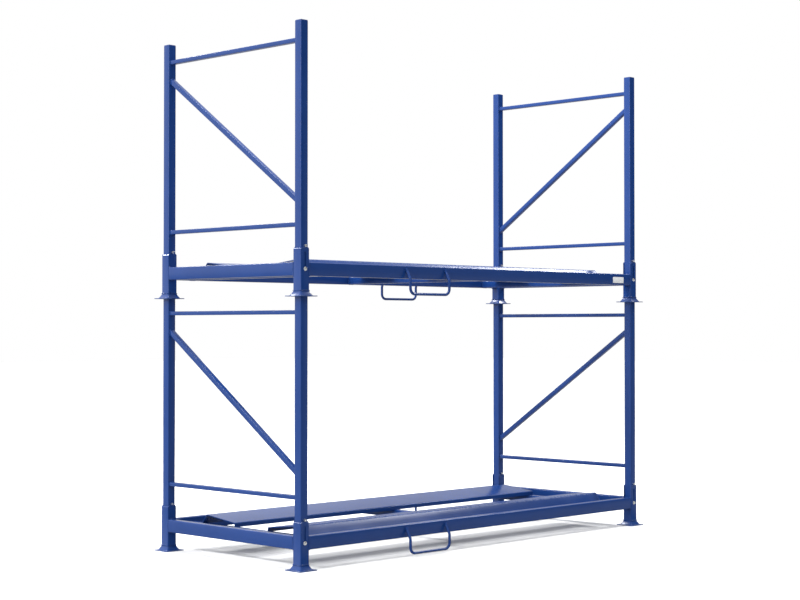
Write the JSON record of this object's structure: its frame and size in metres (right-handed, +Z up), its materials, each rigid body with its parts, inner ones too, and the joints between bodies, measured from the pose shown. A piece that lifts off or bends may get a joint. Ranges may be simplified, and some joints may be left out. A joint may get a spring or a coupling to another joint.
{
  "type": "tyre storage rack",
  "caption": "Stacked steel tyre rack: bases with sloped trays for a row of upright truck tyres, end frames that fold inwards, flared feet that seat on the posts below, and fork loops.",
  "frame": {"origin": "on the floor, at the middle of the footprint", "axes": "+X along the rack to the right, +Y to the back, +Z up"},
  "size_m": [2.658, 1.1396, 2.588],
  "materials": {
    "blue_paint": "semi-gloss powder coat",
    "zinc": "bright zinc plate",
    "white_plate": "blank, semi-gloss"
  },
  "bodies": {
    "lower_rack": {"lower_leg_front_left": "blue_paint", "lower_post_front_left": "blue_paint", "lower_pivot_bolt_front_left": "zinc", "lower_leg_front_right": "blue_paint", "lower_post_front_right": "blue_paint", "lower_pivot_bolt_front_right": "zinc", "lower_leg_back_left": "blue_paint", "lower_post_back_left": "blue_paint", "lower_pivot_bolt_back_left": "zinc", "lower_leg_back_right": "blue_paint", "lower_post_back_right": "blue_paint", "lower_pivot_bolt_back_right": "zinc", "lower_front_beam": "blue_paint", "lower_front_tray": "blue_paint", "lower_front_fork_loop": "blue_paint", "lower_back_beam": "blue_paint", "lower_back_tray": "blue_paint", "lower_back_fork_loop": "blue_paint", "lower_left_end_beam": "blue_paint", "lower_left_cross_member": "blue_paint", "lower_left_top_bar": "blue_paint", "lower_left_lower_bar": "blue_paint", "lower_left_diagonal": "blue_paint", "lower_right_end_beam": "blue_paint", "lower_right_cross_member": "blue_paint", "lower_right_top_bar": "blue_paint", "lower_right_lower_bar": "blue_paint", "lower_right_diagonal": "blue_paint", "lower_middle_cross_member": "blue_paint"},
    "upper_base": {"upper_leg_front_left": "blue_paint", "upper_leg_front_right": "blue_paint", "upper_leg_back_left": "blue_paint", "upper_leg_back_right": "blue_paint", "upper_front_beam": "blue_paint", "upper_front_tray": "blue_paint", "upper_front_fork_loop": "blue_paint", "upper_back_beam": "blue_paint", "upper_back_tray": "blue_paint", "upper_back_fork_loop": "blue_paint", "upper_left_end_beam": "blue_paint", "upper_left_cross_member": "blue_paint", "upper_right_end_beam": "blue_paint", "upper_right_cross_member": "blue_paint", "upper_middle_cross_member": "blue_paint", "blank_plate": "white_plate"},
    "left_end_frame": {"upper_post_front_left": "blue_paint", "upper_post_back_left": "blue_paint", "upper_left_top_bar": "blue_paint", "upper_left_lower_bar": "blue_paint", "upper_left_diagonal": "blue_paint"},
    "left_pivot_bolts": {"upper_pivot_bolt_front_left": "zinc", "upper_pivot_bolt_back_left": "zinc"},
    "right_end_frame": {"upper_post_front_right": "blue_paint", "upper_post_back_right": "blue_paint", "upper_right_top_bar": "blue_paint", "upper_right_lower_bar": "blue_paint", "upper_right_diagonal": "blue_paint"},
    "right_pivot_bolts": {"upper_pivot_bolt_front_right": "zinc", "upper_pivot_bolt_back_right": "zinc"}
  },
  "joints": [
    {"name": "upper_rack_lift", "type": "slide", "parent": "lower_rack", "child": "upper_base", "axis": [0, 0, 1], "range_m": [0, 0.15]},
    {"name": "left_bolt_rise", "type": "slide", "parent": "upper_base", "child": "left_pivot_bolts", "axis": [0, 0, 1], "range_m": [0, 0.074]},
    {"name": "left_frame_fold", "type": "hinge", "parent": "left_pivot_bolts", "child": "left_end_frame", "pos_m": [-1.274, 0, 1.415], "axis": [0, 1, 0], "range_deg": [0, 90]},
    {"name": "right_bolt_rise", "type": "slide", "parent": "upper_base", "child": "right_pivot_bolts", "axis": [0, 0, 1], "range_m": [0, 0.074]},
    {"name": "right_frame_fold", "type": "hinge", "parent": "right_pivot_bolts", "child": "right_end_frame", "pos_m": [1.274, 0, 1.415], "axis": [0, -1, 0], "range_deg": [0, 90]}
  ],
  "couplings": [
    {"joint": "left_bolt_rise", "follows": "left_frame_fold", "m_per_rad": 0.0471},
    {"joint": "right_bolt_rise", "follows": "right_frame_fold", "m_per_rad": 0.0471}
  ]
}
